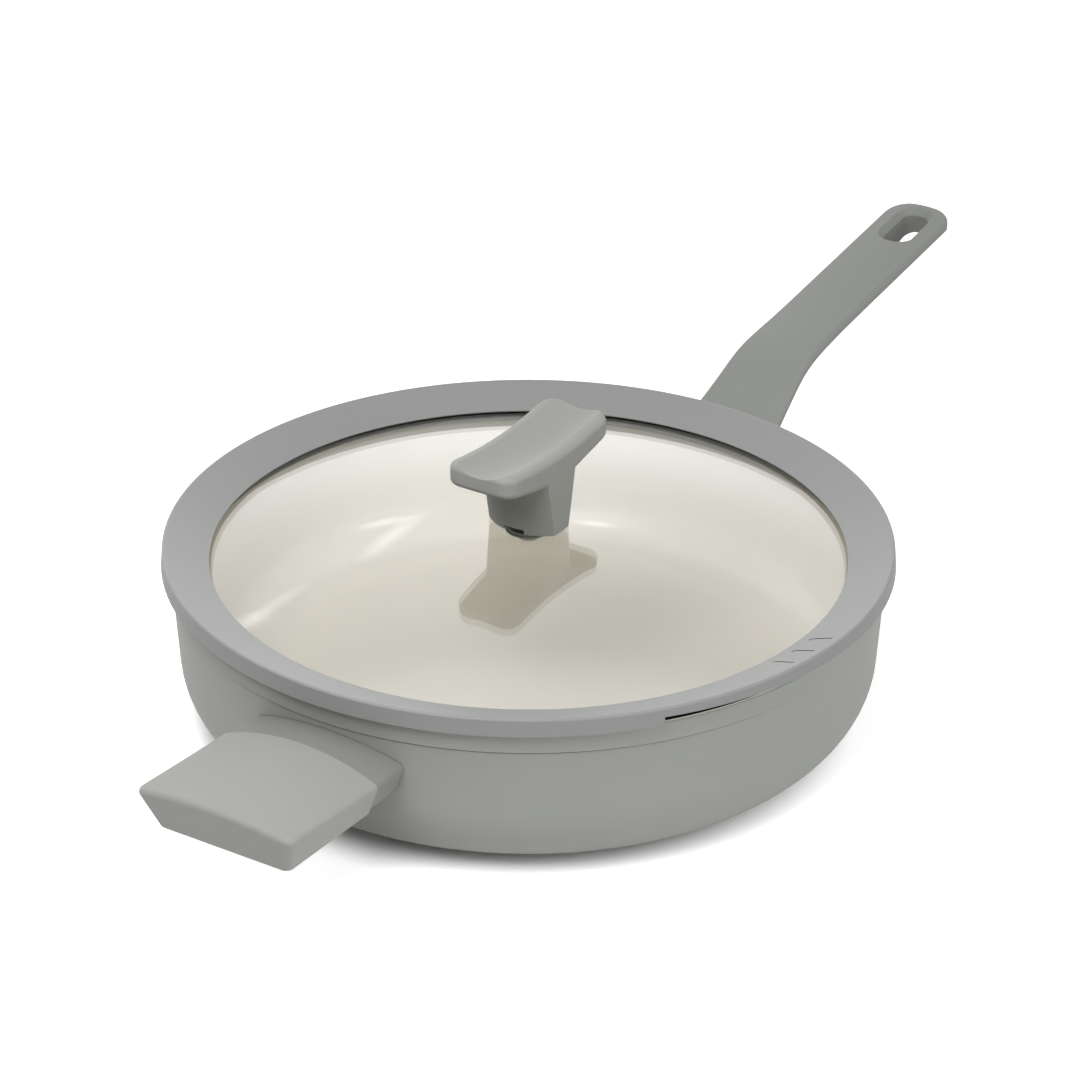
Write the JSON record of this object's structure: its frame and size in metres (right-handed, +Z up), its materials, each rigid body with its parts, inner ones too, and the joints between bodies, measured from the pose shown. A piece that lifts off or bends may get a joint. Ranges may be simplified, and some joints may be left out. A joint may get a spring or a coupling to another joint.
{
  "type": "saute pan with lid",
  "caption": "Deep saute pan with a long handle and a helper handle, cream ceramic lining, and a domed glass lid with a silicone rim and a T-shaped knob.",
  "frame": {"origin": "centre of the foot's underside, on the pan's axis", "axes": "+Z up along the pan's axis, +X along the long handle, helper handle towards -X"},
  "size_m": [0.544, 0.2931, 0.1191],
  "materials": {
    "pan_coating": "matte warm grey, soft to the touch",
    "ceramic": "cream ceramic, glossy",
    "steel": "satin",
    "ferrule": "matte, darker than the grips",
    "grip": "soft touch",
    "glass": "clear, polished",
    "silicone": "matte silicone",
    "black_rubber": "matte",
    "brass": "machined",
    "clear_plastic": "milky"
  },
  "bodies": {
    "pan": {"pan_body": "pan_coating", "ceramic_lining": "ceramic", "induction_plate": "steel", "long_handle_ferrule": "ferrule", "long_handle_grip": "grip", "long_handle_screw": "steel", "long_handle_washer": "steel", "helper_ferrule": "ferrule", "helper_grip": "grip", "helper_screws": "steel", "helper_washers": "steel"},
    "lid": {"lid_glass": "glass", "lid_ring": "silicone", "knob": "grip", "knob_insert": "brass", "knob_gasket": "black_rubber", "lid_hole_bush": "clear_plastic", "under_gasket": "silicone", "lid_washer": "steel", "lid_screw": "steel"}
  },
  "joints": [
    {"name": "lid_lift", "type": "slide", "parent": "pan", "child": "lid", "axis": [0, 0, 1], "range_m": [0, 0.06]}
  ]
}
